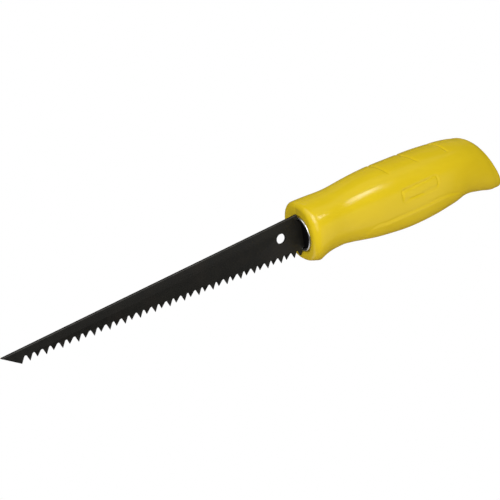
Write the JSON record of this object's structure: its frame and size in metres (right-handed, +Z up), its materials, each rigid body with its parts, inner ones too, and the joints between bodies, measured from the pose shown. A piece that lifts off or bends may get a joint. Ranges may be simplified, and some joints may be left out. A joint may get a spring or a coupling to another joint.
{
  "type": "drywall saw",
  "caption": "Jab saw with a fixed, tapered, pointed blade, a hanging hole and a hollow two-shell moulded handle with a collar at the front.",
  "frame": {"origin": "centre of the hanging hole in the blade, on the blade's mid-plane", "axes": "+X along the tooth line from the point towards the butt of the handle, +Z up towards the spine, +Y to the right side, across the blade"},
  "size_m": [0.2708, 0.0308, 0.0354],
  "materials": {
    "blade_steel": "satin black oxide over ground steel",
    "bright_steel": "polished",
    "nylon": "satin black nylon",
    "pin_steel": "ground dowel pin",
    "handle_plastic": "glossy yellow moulded plastic",
    "screw_steel": "zinc plated"
  },
  "bodies": {
    "root": {"blade": "blade_steel", "nose_ferrule": "bright_steel", "blade_guide_left": "nylon", "blade_guide_right": "nylon", "tang_pins": "pin_steel", "handle_shell_left": "handle_plastic", "handle_shell_right": "handle_plastic", "shell_screws": "screw_steel"}
  },
  "joints": []
}
